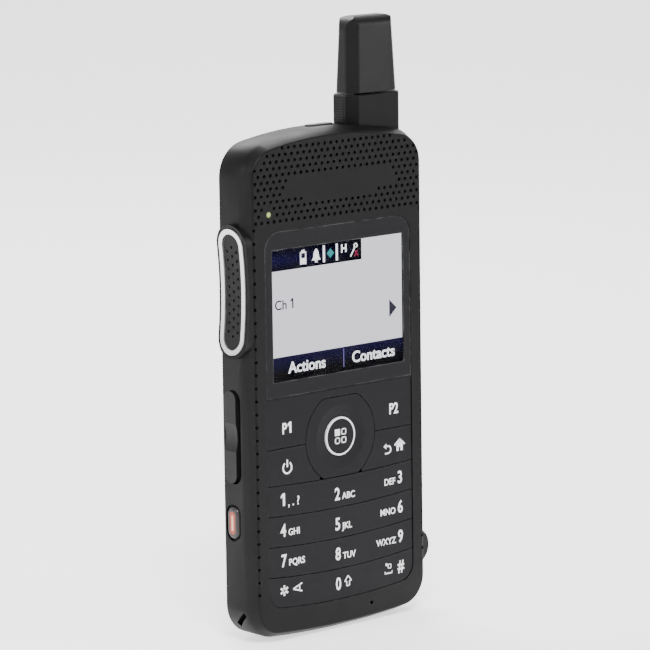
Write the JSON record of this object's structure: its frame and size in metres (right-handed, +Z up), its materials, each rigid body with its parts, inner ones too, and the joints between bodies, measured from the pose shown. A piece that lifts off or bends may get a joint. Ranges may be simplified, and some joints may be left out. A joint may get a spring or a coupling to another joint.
{
  "type": "handheld two-way radio",
  "caption": "Slim handheld two-way radio with colour display, bar keypad, navigation disc, side talk bar, volume rocker, orange side key and short antenna.",
  "frame": {"origin": "bottom of the radio, under the middle of its overall box", "axes": "+Z up to the antenna, +X to the right of a user facing the keypad, +Y from the keypad into the radio"},
  "size_m": [0.0598, 0.0216, 0.1425],
  "materials": {
    "housing": "fine-grained matte",
    "antenna_cap": "satin",
    "seal": "matte",
    "chassis": "cast",
    "steel": "plain",
    "lens": "gloss",
    "display": "lit",
    "status_light": "lit",
    "speaker": "plain",
    "speaker_cone": "plain",
    "mesh": "woven",
    "board": "solder mask",
    "tin": "tinned",
    "dome_sheet": "film",
    "key": "satin",
    "ring_white": "gloss",
    "web": "matte",
    "talk_rubber": "dimpled",
    "silver_ring": "satin silver paint",
    "switch": "plain",
    "side_plastic": "satin",
    "orange_key": "translucent gloss",
    "cover_rubber": "matte",
    "gold": "gold plated",
    "battery": "sleeved",
    "contacts": "plain",
    "coil": "wound"
  },
  "bodies": {
    "radio_body": {"accessory_cover_pin": "steel", "accessory_port": "tin", "antenna_base": "housing", "antenna_cap": "antenna_cap", "antenna_coil": "coil", "antenna_feed": "gold", "battery_contacts": "contacts", "battery_door_pin": "steel", "battery_pack": "battery", "board_screws": "steel", "charging_contacts": "gold", "display_gasket": "seal", "display_module": "display", "dome_sheet": "dome_sheet", "front_housing": "housing", "housing_screws": "steel", "housing_seal": "seal", "lanyard_post": "steel", "lens_window": "lens", "main_board": "board", "microphone": "steel", "mid_chassis": "chassis", "ptt_ring": "silver_ring", "ptt_switch": "switch", "rear_housing": "housing", "shield_can_lower": "tin", "shield_can_upper": "tin", "side_board": "board", "side_button_switch": "switch", "speaker": "speaker", "speaker_mesh": "mesh", "status_light": "status_light", "top_button_switch": "switch", "vibration_motor": "steel", "volume_rocker_pin": "steel", "volume_switches": "switch"},
    "talk_bar": {"ptt_bar": "talk_rubber"},
    "volume": {"volume_rocker": "side_plastic"},
    "side_key": {"side_button": "orange_key"},
    "top_key": {"top_button": "side_plastic"},
    "function_bar": {"function_bar": "key"},
    "power_key": {"power_key": "key"},
    "home_key": {"home_key": "key"},
    "nav_gimbal": {"nav_gimbal": "web"},
    "nav_disc": {"nav_disc": "key"},
    "select_key": {"select_button": "key", "select_ring": "ring_white"},
    "speaker_cone": {"speaker_cone": "speaker_cone"},
    "accessory_cover": {"accessory_cover": "cover_rubber"},
    "battery_door": {"battery_door": "housing"},
    "battery_latch": {"battery_latch": "housing"},
    "vibration_weight": {"vibration_weight": "steel"},
    "row_web_1": {"row_web_1": "web"},
    "key_row_1": {"key_row_1": "key"},
    "row_web_2": {"row_web_2": "web"},
    "key_row_2": {"key_row_2": "key"},
    "row_web_3": {"row_web_3": "web"},
    "key_row_3": {"key_row_3": "key"},
    "row_web_4": {"row_web_4": "web"},
    "key_row_4": {"key_row_4": "key"}
  },
  "joints": [
    {"name": "talk_bar_press", "type": "slide", "parent": "radio_body", "child": "talk_bar", "axis": [1, 0, 0], "range_m": [0, 0.00045], "stiffness_N_per_m": 3000},
    {"name": "volume_rock", "type": "hinge", "parent": "radio_body", "child": "volume", "pos_m": [-0.02585, -0.0037, 0.0485], "axis": [0, 1, 0], "range_deg": [-1.4, 1.4], "stiffness_Nm_per_rad": 0.05},
    {"name": "side_key_press", "type": "slide", "parent": "radio_body", "child": "side_key", "axis": [1, 0, 0], "range_m": [0, 0.00045], "stiffness_N_per_m": 2500},
    {"name": "top_key_press", "type": "slide", "parent": "radio_body", "child": "top_key", "axis": [0, 0, -1], "range_m": [0, 0.0004], "stiffness_N_per_m": 2500},
    {"name": "function_bar_rock", "type": "hinge", "parent": "radio_body", "child": "function_bar", "pos_m": [-0.00115, -0.0092, 0.05137], "axis": [0, 0, 1], "range_deg": [-0.6, 0.6], "stiffness_Nm_per_rad": 0.5},
    {"name": "power_key_press", "type": "slide", "parent": "radio_body", "child": "power_key", "axis": [0, 1, 0], "range_m": [0, 0.00035], "stiffness_N_per_m": 2500},
    {"name": "home_key_press", "type": "slide", "parent": "radio_body", "child": "home_key", "axis": [0, 1, 0], "range_m": [0, 0.00035], "stiffness_N_per_m": 2500},
    {"name": "nav_tilt_sideways", "type": "hinge", "parent": "radio_body", "child": "nav_gimbal", "pos_m": [-0.00115, -0.00865, 0.0458], "axis": [0, 0, 1], "range_deg": [-1.2, 1.2], "stiffness_Nm_per_rad": 0.2},
    {"name": "nav_tilt_up_down", "type": "hinge", "parent": "nav_gimbal", "child": "nav_disc", "pos_m": [-0.00115, -0.00865, 0.0458], "axis": [1, 0, 0], "range_deg": [-1.2, 1.2], "stiffness_Nm_per_rad": 0.2},
    {"name": "select_press", "type": "slide", "parent": "radio_body", "child": "select_key", "axis": [0, 1, 0], "range_m": [0, 0.00035], "stiffness_N_per_m": 2500},
    {"name": "row_1_press", "type": "slide", "parent": "radio_body", "child": "row_web_1", "axis": [0, 1, 0], "range_m": [0, 0.00035], "stiffness_N_per_m": 4000},
    {"name": "row_1_rock", "type": "hinge", "parent": "row_web_1", "child": "key_row_1", "pos_m": [-0.00115, -0.00915, 0.03272], "axis": [0, 0, 1], "range_deg": [-0.6, 0.6], "stiffness_Nm_per_rad": 0.5},
    {"name": "row_2_press", "type": "slide", "parent": "radio_body", "child": "row_web_2", "axis": [0, 1, 0], "range_m": [0, 0.00035], "stiffness_N_per_m": 4000},
    {"name": "row_2_rock", "type": "hinge", "parent": "row_web_2", "child": "key_row_2", "pos_m": [-0.00115, -0.00915, 0.02558], "axis": [0, 0, 1], "range_deg": [-0.6, 0.6], "stiffness_Nm_per_rad": 0.5},
    {"name": "row_3_press", "type": "slide", "parent": "radio_body", "child": "row_web_3", "axis": [0, 1, 0], "range_m": [0, 0.00035], "stiffness_N_per_m": 4000},
    {"name": "row_3_rock", "type": "hinge", "parent": "row_web_3", "child": "key_row_3", "pos_m": [-0.00115, -0.00915, 0.01843], "axis": [0, 0, 1], "range_deg": [-0.6, 0.6], "stiffness_Nm_per_rad": 0.5},
    {"name": "row_4_press", "type": "slide", "parent": "radio_body", "child": "row_web_4", "axis": [0, 1, 0], "range_m": [0, 0.00035], "stiffness_N_per_m": 4000},
    {"name": "row_4_rock", "type": "hinge", "parent": "row_web_4", "child": "key_row_4", "pos_m": [-0.00115, -0.00915, 0.01128], "axis": [0, 0, 1], "range_deg": [-0.6, 0.6], "stiffness_Nm_per_rad": 0.5},
    {"name": "speaker_cone_move", "type": "slide", "parent": "radio_body", "child": "speaker_cone", "axis": [0, 1, 0], "range_m": [-0.00025, 0.00025], "stiffness_N_per_m": 2000},
    {"name": "accessory_cover_swing", "type": "hinge", "parent": "radio_body", "child": "accessory_cover", "pos_m": [0.02535, -0.0044, 0.0252], "axis": [0, -1, 0], "range_deg": [0, 85]},
    {"name": "battery_door_swing", "type": "hinge", "parent": "radio_body", "child": "battery_door", "pos_m": [-0.00115, 0.01, 0.0208], "axis": [-1, 0, 0], "range_deg": [0, 75]},
    {"name": "battery_latch_slide", "type": "slide", "parent": "radio_body", "child": "battery_latch", "axis": [0, 0, 1], "range_m": [0, 0.002], "stiffness_N_per_m": 300},
    {"name": "vibration_spin", "type": "hinge", "parent": "radio_body", "child": "vibration_weight", "pos_m": [-0.01315, -0.0039, 0.0134], "axis": [1, 0, 0], "continuous": true}
  ]
}
